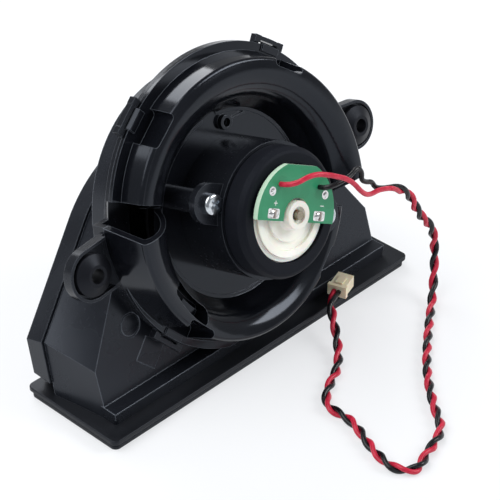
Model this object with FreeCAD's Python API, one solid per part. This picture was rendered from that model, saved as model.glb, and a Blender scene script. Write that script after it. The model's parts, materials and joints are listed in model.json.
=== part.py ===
import FreeCAD, Part
import math
import os
from FreeCAD import Placement, Rotation, Vector

# Robot vacuum suction motor: a double volute fan with a brushed motor on a
# wide duct hood, standing on the hood's rectangular mouth.
# World frame: millimetres, +Z up, X along the mouth, front towards -Y, origin
# at the middle of the mouth in the plane of the seal's underside.
# Fan frame: u to the right, v up the leaning fan, h out along the motor axis,
# with its origin where that axis crosses the joint of the two scroll halves.

os.makedirs("parts", exist_ok=True)

# Stance of the fan over the mouth
lean = 16.8
axis_y = -1.7
axis_z = 41.5

# Mouth, its flange and its seal
mouth_length = 99.4
mouth_depth = 20.0
mouth_corner = 1.0
collar_wall = 1.8
collar_bottom = 0.9
collar_corner = 1.0
flange_top = 6.8
flange_thick = 1.8
seal_top = 3.4
seal_lower_reach = 4.3
seal_lower_thick = 1.3
seal_upper_reach = 4.9
seal_upper_thick = 1.4
seal_waist_reach = 3.4
seal_corner = 1.7
seal_edge_round = 0.3

# Duct hood, with half widths and heights measured in the fan frame
hood_wall = 1.8
hood_front_h = -4.5
rim_front_h = -20.7
hood_back_h = -26.8
rim_step = 0.8
rim_half_foot = 55.0
rim_half_shoulder = 53.7
rim_shoulder_v = -18.5
rim_half_knee = 30.5
rim_knee_v = 6.5
rim_top_v = 19.0
face_half_foot = 51.6
face_half_shoulder = 51.2
face_shoulder_v = -25.0
face_knee_angle = 184.0
mould_mark_u = -37.2
mould_mark_v = -18.5
mould_mark_radius = 3.3
mould_mark_width = 0.5
mould_pad_u = -33.3
mould_pad_v = -28.2
mould_pad_side = 6.8
mould_pad_turn = 45.0
mould_relief = 0.2

# Joint of the two scroll halves, which the radii of the scroll step in from
joint_rise = 1.9
joint_lip = 1.4
joint_step = 1.2
ledge_clearance = 0.3

# Scroll base, sunk through the hood's front
base_wall = 1.6
base_foot_step = 3.0
base_skirt_step = 1.6
drum_step = 7.0
drum_depth = 6.5
drum_clearance = 0.3
eye_radius = 14.0
eye_lip = 1.6
eye_lip_height = 0.5

# Double volute of the cover
volute_start = 156.0
volute_end = -21.0
volute_sections = 9
volute_wall = 1.6
volute_growth = 3.0
volute_lead = 0.025
recess_step = 16.0
recess_floor_h = 1.0
cover_plate = 1.6
ring_step = 12.5
ring_inner_h = 5.0
crown_start_step = 8.6
crown_end_step = 7.4
crown_start_h = 7.4
crown_end_h = 11.2
shoulder_start_step = 3.9
shoulder_end_step = 0.4
shoulder_start_h = 7.4
shoulder_end_h = 12.0
shoulder_round = 1.1
skirt_start_step = 2.8
skirt_end_swell = 2.4
shoe_start = 0.3
shoe_lead = 0.12

# Outlets, whose rims slant from the roof back to the foot
outlet_roof_v = 7.0
outlet_foot_v = 11.0

# Pocket in the lower roof, with the catch inside it
pocket_start = 195.0
pocket_end = 222.0
pocket_inner_step = 11.4
pocket_outer_step = 6.8
pocket_floor_h = 3.6
catch_start = 208.0
catch_end = 219.0
catch_width = 1.7
catch_height = 2.2

# Snap latches round the joint
latch_angles = (53.0, 128.0, 222.0, 308.0)
latch_width = 10.2
latch_stand = 0.9
latch_thick = 1.1
latch_height = 2.0
latch_boss = 1.9
latch_gap = 0.3
hook_reach = 0.6
hook_height = 1.5
notch_depth = 1.5
notch_corner = 1.2

# Mounting lugs with rubber grommets
lug_reach = 5.9
lug_v = 2.0
lug_radius = 6.9
lug_bottom_h = -1.4
lug_thick = 1.6
lug_bore = 3.9
lug_cup_height = 1.4
lug_cup_wall = 0.8
lug_tail_angle = 12.4
lug_toe_angle = -8.6
grommet_bore = 1.9
grommet_flange = 5.4
grommet_under_step = 0.5
grommet_under_thick = 1.6
grommet_edge_thick = 1.8
grommet_dome = 1.5
grommet_mouth = 0.9
rubber_fit = 0.05

# Screw boss with its rib, and the half round niche beside it
boss_angle = 81.7
boss_distance = 21.6
boss_radius = 2.0
boss_bore = 1.15
boss_height = 1.5
boss_rib_length = 7.0
boss_rib_width = 0.6
boss_rib_height = 0.9
niche_angle = 92.9
niche_radius = 2.4

# Motor holder with its two screw ears
holder_wall = 1.6
holder_top_h = 16.2
ear_angle = 152.0
ear_radius = 5.2
ear_thick = 2.0
ear_stand = 2.8
ear_drop = 1.6
post_radius = 3.1
post_clearance = 0.3
screw_head_radius = 2.75
screw_head_height = 1.9
screw_head_round = 0.8
screw_shank_radius = 1.3
screw_length = 8.0
screw_bore_floor = 2.0
cross_reach = 1.5
cross_width = 0.8
cross_depth = 0.9
cross_turn = 20.0

# Motor
can_radius = 13.85
can_wall = 0.8
can_top_h = 20.4
nose_radius = 5.0
nose_height = 2.2
nose_fit = 0.2
sleeve_fit = 0.1
sleeve_thick = 2.35
sleeve_collar_swell = 3.05
sleeve_front_swell = 2.25
sleeve_front_chamfer = 0.7
sleeve_shoulder = 1.6
sleeve_foot = 1.5
sleeve_lip = 1.15
cap_plug_depth = 2.0
cap_step_width = 1.45
cap_step_rise = 1.1
cap_face_width = 2.65
cap_face_rise = 1.9
cap_groove_outer_step = 4.45
cap_groove_inner_step = 6.65
cap_groove_depth = 0.8
cap_boss_radius = 3.7
cap_boss_chamfer = 0.6
cap_boss_rise = 5.0
cap_boss_mouth = 2.2
cap_boss_lip = 0.8
cap_chamber_step = 4.25
cap_post_offset = 10.3
cap_post_rise = 2.6
cap_post_radius = 1.0
shaft_radius = 1.15
shaft_stub = 0.5
shaft_passage = 0.3
bush_radius = 2.6
bush_running = 0.04
bush_cover = 1.4
bush_seat = 0.2
magnet_thick = 2.45
magnet_span = 130.0
magnet_lift = 2.2
magnet_drop = 4.4
air_gap = 0.5
core_margin = 1.0
core_slots = 5
slot_bottom = 4.0
slot_lip = 1.6
slot_width = 2.6
slot_neck = 1.2
winding_end = 1.6
winding_step = 1.7
winding_sleeve = 1.4
commutator_radius = 2.7
commutator_length = 2.4
commutator_stand = 0.2
commutator_slit = 0.3
commutator_slit_depth = 0.8
brush_width = 2.4
brush_height = 1.8
brush_gap = 0.05
brush_arm = 1.95
brush_seat = 0.4

# Circuit board, turned with the motor about its axis
board_turn = -26.5
board_radius = 13.5
board_stand = 0.7
board_thick = 1.5
board_chord = 12.5
board_foot = -1.8
board_slot = 4.3
terminal_inset = 5.75
terminal_width = 2.2
terminal_thick = 0.5
terminal_stub = 0.8
terminal_fit = 0.1
pad_length = 3.1
pad_width = 2.3
pad_height = 0.7
pad_taper = 0.55
spot_offset = 9.4
spot_rise = 5.5
spot_radius = 0.8
spot_tip = 0.4
spot_height = 0.45

# Impeller
impeller_gap = 4.9
impeller_plate_h = -1.6
impeller_plate = 1.0
impeller_running = 0.8
impeller_shroud = 0.8
impeller_eye = 17.0
blade_count = 11
blade_root = 9.0
blade_sweep = 38.0
blade_bow = 0.36
blade_tip_gap = 0.2
blade_tip_turn = 2.1
blade_belly_turn = 3.0
blade_belly_step = 0.1
blade_heel_turn = 6.0
hub_radius = 3.6
hub_height = 7.0

# Leads, their twisted pair and the plug connector
wire_radius = 0.68
pair_radius = 1.36
lead_spread = 0.7
lead_approach = 4.0
connector_length = 6.4
connector_width = 4.6
connector_height = 3.5
connector_turn = 18.0
connector_wall = 0.55
connector_slot_depth = 4.4
connector_key = 0.45
connector_key_length = 1.2
connector_rail_width = 2.2
connector_rail_end = 1.8
pin_width = 0.6
pin_length = 3.2

# Route of the red lead and of the black lead in the fan frame, with heights over
# the board's front
red_route = [(-2.9, 9.7, 0.0), (-2.9, 9.7, 4.1), (3.8, 10.9, 6.3), (10.4, 7.4, 6.9),
             (16.4, 2.9, 6.5), (21.6, -1.2, 5.3)]
black_route = [(9.5, 3.5, 0.0), (9.5, 3.5, 2.7), (13.0, 3.5, 3.5), (17.0, 3.7, 3.8),
               (20.0, 5.0, 3.9), (21.6, 3.0, 3.7), (21.0, 1.0, 3.4), (23.0, -0.6, 2.9),
               (25.6, -1.6, 2.4)]

# Route of the twisted pair in the world frame, from the two leads over the
# surface that the object stands on and up to the connector
lay = pair_radius
pair_route = [(30.2, -29.2, 44.1), (38.0, -29.3, 41.0), (44.5, -29.2, 28.5), (51.0, -29.0, 21.5),
              (54.0, -28.0, 11.0), (48.0, -32.8, lay), (35.4, -41.6, lay), (22.0, -52.0, lay),
              (12.0, -62.7, lay), (6.9, -70.0, lay), (0.8, -72.4, lay), (-4.6, -73.6, lay),
              (-9.6, -76.2, lay), (-14.0, -71.4, lay), (-11.6, -62.0, lay), (-6.6, -51.4, lay),
              (-7.6, -42.8, lay), (-0.6, -38.0, lay), (6.5, -35.0, lay), (12.8, -29.4, 2.3),
              (17.4, -23.2, 5.6), (21.2, -18.53, 7.15), (25.6, -17.1, 7.15)]

# Values that follow from the sizes above: heights up the motor
can_floor_h = recess_floor_h + can_wall
cap_step_h = can_top_h + cap_step_rise
cap_face_h = can_top_h + cap_face_rise
cap_boss_h = can_top_h + cap_boss_rise
shaft_end_h = cap_boss_h + shaft_stub
board_back_h = cap_face_h + board_stand
board_front_h = board_back_h + board_thick
magnet_bottom_h = can_floor_h + magnet_lift
magnet_top_h = can_top_h - magnet_drop
core_bottom_h = magnet_bottom_h + core_margin
core_top_h = magnet_top_h - core_margin
commutator_bottom_h = core_top_h + winding_end + commutator_stand
commutator_top_h = commutator_bottom_h + commutator_length
ear_top_h = holder_top_h - ear_drop

# Radii from the motor out to the joint of the scroll
can_inner = can_radius - can_wall
magnet_inner = can_inner - magnet_thick
core_radius = magnet_inner - air_gap
winding_radius = core_radius - winding_step
terminal_offset = can_radius - terminal_inset
brush_length = terminal_offset - commutator_radius - brush_gap - brush_arm
holder_inner = can_radius + sleeve_thick
holder_outer = holder_inner + holder_wall
ear_distance = holder_outer + ear_stand
recess_radius = ear_distance + post_radius + post_clearance
joint_radius = recess_radius + recess_step
ring_inner = joint_radius - ring_step
drum_radius = joint_radius - drum_step
impeller_radius = drum_radius - base_wall - impeller_gap
base_foot = joint_radius - base_foot_step
base_skirt = joint_radius - base_skirt_step
face_round = base_foot
skirt_start_radius = joint_radius - skirt_start_step
skirt_end_radius = joint_radius + skirt_end_swell
lug_u = skirt_end_radius + lug_reach

# Depths and heights of the scroll and the mouth
drum_bottom_h = hood_front_h - drum_depth
lug_floor_h = lug_bottom_h + lug_thick
flange_bottom = flange_top - flange_thick
collar_length = mouth_length + 2 * collar_wall
collar_depth = mouth_depth + 2 * collar_wall

# Reach of the spaces that keep or cut a whole side of a shape
space = 300.0


def fan_to_world():
    """Return the placement that stands the fan frame over the mouth."""
    return Placement(Vector(0, axis_y, axis_z), Rotation(Vector(1, 0, 0), 90 - lean))


def stand(shape):
    """Return a shape of the fan frame as it stands in the world frame."""
    placed = shape.copy()
    placed.Placement = fan_to_world().multiply(placed.Placement)
    return placed


def export(name, shape):
    """Write one node and print its volume and whether it is sound."""
    shape.exportStep("parts/" + name + ".step")
    print(name, "solids", len(shape.Solids), "valid", shape.isValid(), "volume", round(shape.Volume, 1))


def fuse(shapes):
    """Join shapes into one clean solid."""
    first = shapes[0]
    return first.fuse(shapes[1:]).removeSplitter()


def cylinder(radius, low, high, u=0.0, v=0.0):
    """Return an upright cylinder of the fan frame between two heights."""
    return Part.makeCylinder(radius, high - low, Vector(u, v, low))


def tube(outer, inner, low, high, u=0.0, v=0.0):
    """Return an upright tube of the fan frame between two heights."""
    return cylinder(outer, low, high, u, v).cut(cylinder(inner, low - 1, high + 1, u, v))


def block(u0, u1, v0, v1, h0, h1):
    """Return a box between opposite corners."""
    return Part.makeBox(u1 - u0, v1 - v0, h1 - h0, Vector(u0, v0, h0))


def face_of(points, low=0.0):
    """Return the flat face of a polygon at one height."""
    corners = [Vector(x, y, low) for x, y in points]
    return Part.Face(Part.makePolygon(corners + corners[:1]))


def prism(points, low, high):
    """Return a polygon raised between two heights."""
    return face_of(points, low).extrude(Vector(0, 0, high - low))


def revolved(profile):
    """Return the solid swept by a profile of (radius, height) points."""
    corners = [Vector(r, 0, h) for r, h in profile]
    face = Part.Face(Part.makePolygon(corners + corners[:1]))
    return face.revolve(Vector(0, 0, 0), Vector(0, 0, 1), 360)


def turned(shape, angle, u=0.0, v=0.0):
    """Return a shape turned about an upright axis."""
    result = shape.copy()
    result.rotate(Vector(u, v, 0), Vector(0, 0, 1), angle)
    return result


def polar(radius, angle):
    """Return the point at a radius and an angle in degrees."""
    return radius * math.cos(math.radians(angle)), radius * math.sin(math.radians(angle))


def blend(start, end, share):
    """Return the value part of the way from start to end."""
    return start + (end - start) * share


def sector(low_angle, high_angle, reach, low, high):
    """Return a wedge about the motor axis."""
    middle = 0.5 * (low_angle + high_angle)
    points = [(0, 0)] + [polar(reach, a) for a in (low_angle, middle, high_angle)]
    return prism(points, low, high)


def hood_wire(half_foot, foot_v, half_shoulder, shoulder_v, knee_u, knee_v, top_v, h):
    """Return the six sided outline of the hood at one depth.

    Two upright sides stand on a straight foot, two slanted sides rise to
    the knees, and an arc closes the top.
    """
    foot = [Vector(side * half_foot, foot_v, h) for side in (-1, 1)]
    shoulder = [Vector(side * half_shoulder, shoulder_v, h) for side in (-1, 1)]
    knee = [Vector(side * knee_u, knee_v, h) for side in (-1, 1)]
    return Part.Wire([
        Part.makeLine(foot[0], shoulder[0]),
        Part.makeLine(shoulder[0], knee[0]),
        Part.Arc(knee[0], Vector(0, top_v, h), knee[1]).toShape(),
        Part.makeLine(knee[1], shoulder[1]),
        Part.makeLine(shoulder[1], foot[1]),
        Part.makeLine(foot[1], foot[0]),
    ])


def rim_wire(inset, h):
    """Return the outline of the hood's back rim, drawn in by an inset."""
    return hood_wire(rim_half_foot - inset, 2 * rim_shoulder_v, rim_half_shoulder - inset,
                     rim_shoulder_v - 0.4 * inset, rim_half_knee - 0.6 * inset,
                     rim_knee_v - 0.8 * inset, rim_top_v - inset, h)


def face_wire(inset, h):
    """Return the outline of the hood's front face, drawn in by an inset."""
    radius = face_round - inset
    knee_u, knee_v = polar(radius, face_knee_angle)
    return hood_wire(face_half_foot - inset, 2 * face_shoulder_v, face_half_shoulder - inset,
                     face_shoulder_v - 0.4 * inset, -knee_u, knee_v, radius + joint_rise, h)


def world_box(length, low_y, high_y, low_z, high_z):
    """Return a box of the world frame, centred across the mouth."""
    return Part.makeBox(length, high_y - low_y, high_z - low_z, Vector(-length / 2, low_y, low_z))


def above(level, shape):
    """Keep what stands above one level of the world frame."""
    return shape.common(world_box(space, -space, space, level, space))


def rounded_rectangle(length, depth, radius, z):
    """Return a rounded rectangle about the middle of the mouth."""
    half_x = length / 2
    half_y = depth / 2
    spans = []
    for sx, sy in ((1, -1), (1, 1), (-1, 1), (-1, -1)):
        cx = sx * (half_x - radius)
        cy = sy * (half_y - radius)
        bend = radius * math.sqrt(0.5)
        ends = [Vector(cx + sx * radius, cy, z), Vector(cx, cy + sy * radius, z)]
        if sx * sy < 0:
            ends.reverse()
        spans.append((ends[0], Vector(cx + sx * bend, cy + sy * bend, z), ends[1]))
    edges = []
    for index, (begin, middle, end) in enumerate(spans):
        edges.append(Part.Arc(begin, middle, end).toShape())
        edges.append(Part.makeLine(end, spans[(index + 1) % 4][0]))
    return Part.Wire(edges)


def rectangle_solid(length, depth, radius, low, high):
    """Return a rounded rectangle raised about the middle of the mouth."""
    return Part.Face(rounded_rectangle(length, depth, radius, low)).extrude(Vector(0, 0, high - low))


def build_back_shell():
    """Return the tray that closes the hood at the back."""
    plate_h = hood_back_h + hood_wall
    tray = Part.Face(rim_wire(0, hood_back_h)).extrude(Vector(0, 0, rim_front_h - hood_back_h))
    hollow = Part.Face(rim_wire(hood_wall, plate_h)).extrude(Vector(0, 0, 2 * rim_depth()))
    return above(flange_top, stand(tray.cut(hollow)))


def rim_depth():
    """Return the depth of the back shell's rim."""
    return rim_front_h - hood_back_h


def build_duct_hood():
    """Return the hood's front body with the flange and collar of the mouth."""
    outer = Part.makeLoft([rim_wire(rim_step, rim_front_h), face_wire(0, hood_front_h)], True, True)
    inner = Part.makeLoft([rim_wire(rim_step + hood_wall, rim_front_h),
                           face_wire(hood_wall, hood_front_h - hood_wall)], True, True)
    cowl_floor = drum_bottom_h - drum_clearance
    cowl = cylinder(drum_radius + drum_clearance + hood_wall, cowl_floor - hood_wall, hood_front_h)
    seat = cylinder(drum_radius + drum_clearance, cowl_floor, hood_front_h + 1)
    cowled = fuse([outer, cowl, build_mould_pad()]).cut([inner, seat, build_mould_mark()])
    body = above(seal_top, stand(cowled))
    flange = world_box(collar_length, -collar_depth / 2, foot_y(hood_back_h), flange_bottom, flange_top)
    collar = rectangle_solid(collar_length, collar_depth, collar_corner, collar_bottom, flange_top)
    throat = rectangle_solid(mouth_length, mouth_depth, mouth_corner, collar_bottom - 1, flange_bottom)
    inside_front = foot_y(hood_front_h - hood_wall)
    opening = world_box(mouth_length, inside_front, mouth_depth / 2, flange_bottom - 1, flange_top + 0.5)
    return fuse([body, flange, collar]).cut([throat, opening])


def build_mould_pad():
    """Return the faint square pad low on the hood's front face."""
    half = mould_pad_side / 2
    low = hood_front_h - hood_wall / 2
    pad = turned(block(-half, half, -half, half, low, hood_front_h + mould_relief), mould_pad_turn)
    pad.translate(Vector(mould_pad_u, mould_pad_v, 0))
    return pad


def build_mould_mark():
    """Return the ring groove that a mould pin left on the hood's front face."""
    return tube(mould_mark_radius, mould_mark_radius - mould_mark_width, hood_front_h - mould_relief,
                hood_front_h + 1, mould_mark_u, mould_mark_v)


def foot_y(h):
    """Return the world place across the mouth where one fan depth meets the flange."""
    tilt = math.radians(lean)
    foot_v = (flange_top - axis_z - h * math.sin(tilt)) / math.cos(tilt)
    return axis_y - h * math.cos(tilt) + foot_v * math.sin(tilt)


def build_seal():
    """Return the rubber seal round the collar: a lower lip, a waist and a wider upper lip."""
    upper_low = seal_top - seal_upper_thick
    lower = seal_band(seal_lower_reach, 0, seal_lower_thick)
    upper = seal_band(seal_upper_reach, upper_low, seal_top)
    bands = [band.makeFillet(seal_edge_round, level_edges(band)) for band in (lower, upper)]
    waist = seal_band(seal_waist_reach, seal_lower_thick, upper_low)
    hole = rectangle_solid(collar_length, collar_depth, collar_corner, -1, seal_top + 1)
    return fuse(bands + [waist]).cut(hole)


def seal_band(reach, low, high):
    """Return one level band of the seal, out to a reach from the collar."""
    return rectangle_solid(collar_length + 2 * reach, collar_depth + 2 * reach, seal_corner, low, high)


def level_edges(shape):
    """Return the edges of a shape that lie level."""
    return [edge for edge in shape.Edges if edge.BoundBox.ZLength < 0.01]


def upright_edges(shape):
    """Return the edges of a shape that stand upright."""
    return [edge for edge in shape.Edges if max(edge.BoundBox.XLength, edge.BoundBox.YLength) < 0.01]


def clear_of_ledge(shape, wall):
    """Trim a fan frame shape flat above the mouth's ledge, less a wall."""
    kept = world_box(space, -space, space, flange_top + ledge_clearance + wall, space)
    kept.Placement = fan_to_world().inverse().multiply(kept.Placement)
    return shape.common(kept)


def build_base():
    """Return the scroll's back half with drum, outlets, lugs and latches."""
    floor_h = drum_bottom_h + base_wall
    foot_h = hood_front_h + base_wall
    rim_inner = drum_radius - base_wall
    lip = eye_radius + eye_lip
    lip_h = floor_h + eye_lip_height
    drum = revolved(((eye_radius, drum_bottom_h), (drum_radius, drum_bottom_h), (drum_radius, foot_h),
                     (rim_inner, foot_h), (rim_inner, floor_h), (lip, floor_h), (lip, lip_h),
                     (eye_radius, lip_h)))
    skirt = revolved(((drum_radius, hood_front_h), (base_foot, hood_front_h), (base_skirt, -joint_lip),
                      (joint_radius, -joint_lip), (joint_radius, 0), (base_skirt - base_wall, 0),
                      (base_foot - base_wall, foot_h), (drum_radius, foot_h)))
    skirt.translate(Vector(0, joint_rise, 0))
    bridge = tube(drum_radius + 0.5 * base_wall, rim_inner, hood_front_h, foot_h)
    shoes = [build_shoe(turn).cut(past_outlet(turn)) for turn in (0, 180)]
    over_joint = cylinder(skirt_end_radius + ledge_clearance, 0, shoulder_end_h, 0, joint_rise)
    lugs = [build_lug(side).cut(over_joint) for side in (-1, 1)]
    latches = [build_latch(angle) for angle in latch_angles]
    solid = clear_of_ledge(fuse([drum, skirt, bridge] + shoes + lugs + latches), 0)
    cuts = []
    for turn in (0, 180):
        cuts.append(clear_of_ledge(build_shoe_hollow(turn), base_wall))
        cuts.append(build_outlet(turn))
    for side in (-1, 1):
        cuts.append(cylinder(lug_bore, lug_bottom_h - 1, lug_floor_h + 1, side * lug_u, lug_v))
    return solid.cut(cuts)


def volute_angle(share, turn):
    """Return the angle about the motor axis part of the way along a volute."""
    return turn + blend(volute_start, volute_end, share)


def from_axis(radius, angle):
    """Return the distance from the motor axis to a circle about the scroll's own centre."""
    across = joint_rise * math.cos(math.radians(angle))
    return joint_rise * math.sin(math.radians(angle)) + math.sqrt(radius ** 2 - across ** 2)


def outline_point(radius, share, turn):
    """Return a point of a circle about the scroll's centre, by its angle about the motor axis."""
    angle = volute_angle(share, turn)
    return polar(from_axis(radius, angle), angle)


def shoe_outline(inner, start, inset, turn):
    """Return a sector between a radius and the volute's growing skirt."""
    last = volute_sections - 1
    shares = [blend(start, 1.0, step / last) for step in range(volute_sections)]
    outside = [outline_point(skirt_radius(s) - inset, s, turn) for s in shares]
    inside = [outline_point(inner, s, turn) for s in reversed(shares)]
    return outside + inside


def skirt_radius(share):
    """Return the outer radius of the volute where it meets the joint."""
    return blend(skirt_start_radius, skirt_end_radius, share ** volute_growth)


def build_shoe(turn):
    """Return the part of the base that widens towards one outlet."""
    return prism(shoe_outline(base_foot - base_wall, shoe_start, 0, turn), hood_front_h, 0)


def build_shoe_hollow(turn):
    """Return the air way inside one widening part of the base."""
    foot_h = hood_front_h + base_wall
    return prism(shoe_outline(base_foot - 2 * base_wall, shoe_start + shoe_lead, base_wall, turn), foot_h, 1)


def past_outlet(turn):
    """Return the space past one outlet's rim, which slants back from the roof to the foot."""
    rim = ((outlet_foot_v, -space), (outlet_foot_v, 0), (outlet_roof_v, shoulder_end_h),
           (outlet_roof_v, space), (space, space), (space, -space))
    corners = [Vector(-space, v, h) for v, h in rim]
    face = Part.Face(Part.makePolygon(corners + corners[:1]))
    return turned(face.extrude(Vector(2 * space, 0, 0)), turn + 180)


def build_outlet(turn):
    """Return the opening between the rim of one outlet and the start of the other volute."""
    low = hood_front_h + base_wall
    high = recess_floor_h + 1
    opening = turned(sector(volute_start - 180, 0, 2 * joint_radius, low, high), turn)
    return opening.cut(cylinder(ring_inner, low - 1, high + 1)).common(past_outlet(turn))


def tangent_point(middle, radius, tip, bend):
    """Return where the line from a tip touches a circle, on the side that bend gives."""
    across = tip - middle
    heading = math.degrees(math.atan2(across.y, across.x))
    opening = math.degrees(math.acos(radius / across.Length))
    u, v = polar(radius, heading + bend * opening)
    return middle.x + u, middle.y + v


def lug_solid(side, inset, low, high):
    """Return a lug's teardrop between two heights: a round end whose sides run to the scroll."""
    radius = lug_radius - inset
    narrower = math.degrees(inset / joint_radius)
    middle = Vector(lug_u, lug_v, 0)
    corners = []
    for angle, bend in ((lug_tail_angle - narrower, -1), (lug_toe_angle + narrower, 1)):
        u, v = polar(base_skirt, angle)
        tip = Vector(u, v + joint_rise, 0)
        pair = [tangent_point(middle, radius, tip, bend), (tip.x, tip.y)]
        corners += pair if bend < 0 else pair[::-1]
    web = prism([(side * u, v) for u, v in corners], low, high)
    return cylinder(radius, low, high, side * lug_u, lug_v).fuse(web)


def build_lug(side):
    """Return one mounting lug: a teardrop floor with a thin rim round it."""
    rim_h = lug_floor_h + lug_cup_height
    rim = lug_solid(side, 0, lug_floor_h, rim_h).cut(lug_solid(side, lug_cup_wall, lug_floor_h, rim_h + 1))
    return fuse([lug_solid(side, 0, lug_bottom_h, lug_floor_h), rim])


def build_latch(angle):
    """Return one latch of the base: a strap held off the joint by a boss at each end."""
    low = -joint_lip
    high = low + latch_height
    inner = joint_radius + latch_stand
    outer = inner + latch_thick
    half = latch_width / 2
    strap = tube(outer, inner, low, high).common(block(0, outer, -half, half, low, high))
    bosses = []
    for side in (-1, 1):
        ends = sorted((side * half, side * (half - latch_boss)))
        bosses.append(block(base_skirt, outer, ends[0], ends[1], low, high))
    relief = cylinder(joint_radius + latch_gap, 0, high + 1)
    latch = turned(fuse([strap] + bosses).cut(relief), angle)
    latch.translate(Vector(0, joint_rise, 0))
    return latch


def volute_section(share, inset, low, turn):
    """Return the volute's cross section part of the way along.

    The recess wall rises to the inner edge, an arc crowns the roof, a small
    arc turns over the shoulder and the skirt falls to the joint.
    """
    angle = volute_angle(share, turn)
    crown_r = joint_radius - blend(crown_start_step, crown_end_step, share)
    crown = (crown_r, blend(crown_start_h, crown_end_h, share) - inset)
    growing = joint_radius - blend(shoulder_start_step, shoulder_end_step, share ** volute_growth)
    shoulder_r = from_axis(growing - inset, angle)
    shoulder_h = blend(shoulder_start_h, shoulder_end_h, share) - inset
    inner = (ring_inner + 0.8 * inset, ring_inner_h - inset)
    foot = (recess_radius + 0.8 * inset, low)
    turn_in = (shoulder_r - shoulder_round, shoulder_h)
    turn_mid = (shoulder_r - 0.3 * shoulder_round, shoulder_h - 0.25 * shoulder_round)
    turn_out = (shoulder_r, shoulder_h - shoulder_round)
    skirt = (from_axis(skirt_radius(share) - inset, angle), low)

    def spot(pair):
        u, v = polar(pair[0], angle)
        return Vector(u, v, pair[1])

    return Part.Wire([
        Part.makeLine(spot(foot), spot(inner)),
        Part.Arc(spot(inner), spot(crown), spot(turn_in)).toShape(),
        Part.Arc(spot(turn_in), spot(turn_mid), spot(turn_out)).toShape(),
        Part.makeLine(spot(turn_out), spot(skirt)),
        Part.makeLine(spot(skirt), spot(foot)),
    ])


def volute_body(inset, low, turn):
    """Return one volute lofted through its cross sections, drawn in by an inset."""
    first = volute_lead if inset else 0
    shares = [blend(first, 1, step / (volute_sections - 1)) for step in range(volute_sections)]
    return Part.makeLoft([volute_section(share, inset, low, turn) for share in shares], True, False)


def build_cover():
    """Return the scroll's front half with its two volutes and its recess."""
    low = recess_floor_h - cover_plate
    plate = cylinder(base_foot - base_wall - ledge_clearance, low, 0, 0, joint_rise)
    step = cylinder(joint_radius, 0, joint_step, 0, joint_rise)
    outers = [volute_body(0, 0, turn).cut(past_outlet(turn)) for turn in (0, 180)]
    roofs = clear_of_ledge(fuse(outers), 0)
    solid = clear_of_ledge(fuse([plate, step] + outers), 0)
    cuts = [cylinder(recess_radius, recess_floor_h, shoulder_end_h),
            cylinder(nose_radius + nose_fit, low - 1, shoulder_end_h)]
    for turn in (0, 180):
        cuts.append(clear_of_ledge(volute_body(volute_wall, low - 0.5, turn), volute_wall))
        cuts.append(build_outlet(turn))
    linings = [build_notch(angle, volute_wall) for angle in latch_angles]
    linings += [build_niche(volute_wall), build_pocket(volute_wall)]
    linings = [lining.common(roofs) for lining in linings]
    recesses = [build_notch(angle, 0) for angle in latch_angles] + [build_niche(0), build_pocket(0)]
    solid = fuse([solid.cut(cuts)] + linings).cut(recesses)
    hooks = [build_hook(angle) for angle in latch_angles]
    solid = fuse([solid, build_catch(), build_boss()] + hooks)
    boss_u, boss_v = polar(boss_distance, boss_angle)
    return solid.cut(cylinder(boss_bore, recess_floor_h, shoulder_end_h, boss_u, boss_v))


def build_boss():
    """Return the screw boss on the recess floor with the rib beside it."""
    u, v = polar(boss_distance, boss_angle)
    boss = cylinder(boss_radius, recess_floor_h, recess_floor_h + boss_height, u, v)
    half = boss_rib_width / 2
    rib = block(u, u + boss_rib_length, v - half, v + half, recess_floor_h, recess_floor_h + boss_rib_height)
    return fuse([boss, rib])


def build_niche(wall):
    """Return the half round niche in the recess wall, grown by a wall."""
    u, v = polar(recess_radius, niche_angle)
    return cylinder(niche_radius + wall, recess_floor_h - min(wall, recess_floor_h), shoulder_end_h, u, v)


def build_notch(angle, wall):
    """Return the notch in the volute's shoulder over one latch, grown by a wall."""
    half = latch_width / 2 - latch_gap + wall
    inner = joint_radius - shoulder_start_step - notch_depth - wall
    low = 0 if wall else joint_step
    shape = block(inner, joint_radius + skirt_end_swell, -half, half, low, shoulder_end_h)
    corners = [edge for edge in upright_edges(shape) if edge.BoundBox.XMax < inner + 1]
    notch = turned(shape.makeFillet(notch_corner + wall, corners), angle)
    notch.translate(Vector(0, joint_rise, 0))
    return notch


def ring_piece(inner_step, outer_step, start, end, low, high):
    """Return a piece of a ring about the motor axis, its radii stepped in from the joint."""
    ring = tube(joint_radius - outer_step, joint_radius - inner_step, low, high)
    return ring.common(sector(start, end, joint_radius, low, high))


def build_pocket(wall):
    """Return the pocket in the lower roof, grown by a wall."""
    spread = math.degrees(wall / joint_radius)
    shape = ring_piece(pocket_inner_step + wall, pocket_outer_step - wall, pocket_start - spread,
                       pocket_end + spread, pocket_floor_h - wall, shoulder_end_h)
    return shape.makeFillet(notch_corner, upright_edges(shape))


def build_catch():
    """Return the catch that stands in the lower roof's pocket."""
    middle = 0.5 * (pocket_inner_step + pocket_outer_step)
    low = pocket_floor_h - volute_wall / 2
    return ring_piece(middle + catch_width / 2, middle - catch_width / 2, catch_start, catch_end,
                      low, pocket_floor_h + catch_height)


def build_hook(angle):
    """Return the hook of the cover that snaps behind one latch strap."""
    half = latch_width / 2 - latch_boss - latch_gap
    root = joint_radius - latch_boss
    outline = ((root, latch_gap), (joint_radius + hook_reach, latch_gap),
               (joint_radius, latch_gap + hook_height), (root, latch_gap + hook_height))
    corners = [Vector(r, -half, h) for r, h in outline]
    face = Part.Face(Part.makePolygon(corners + corners[:1]))
    hook = turned(face.extrude(Vector(0, 2 * half, 0)), angle)
    hook.translate(Vector(0, joint_rise, 0))
    return hook


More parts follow.
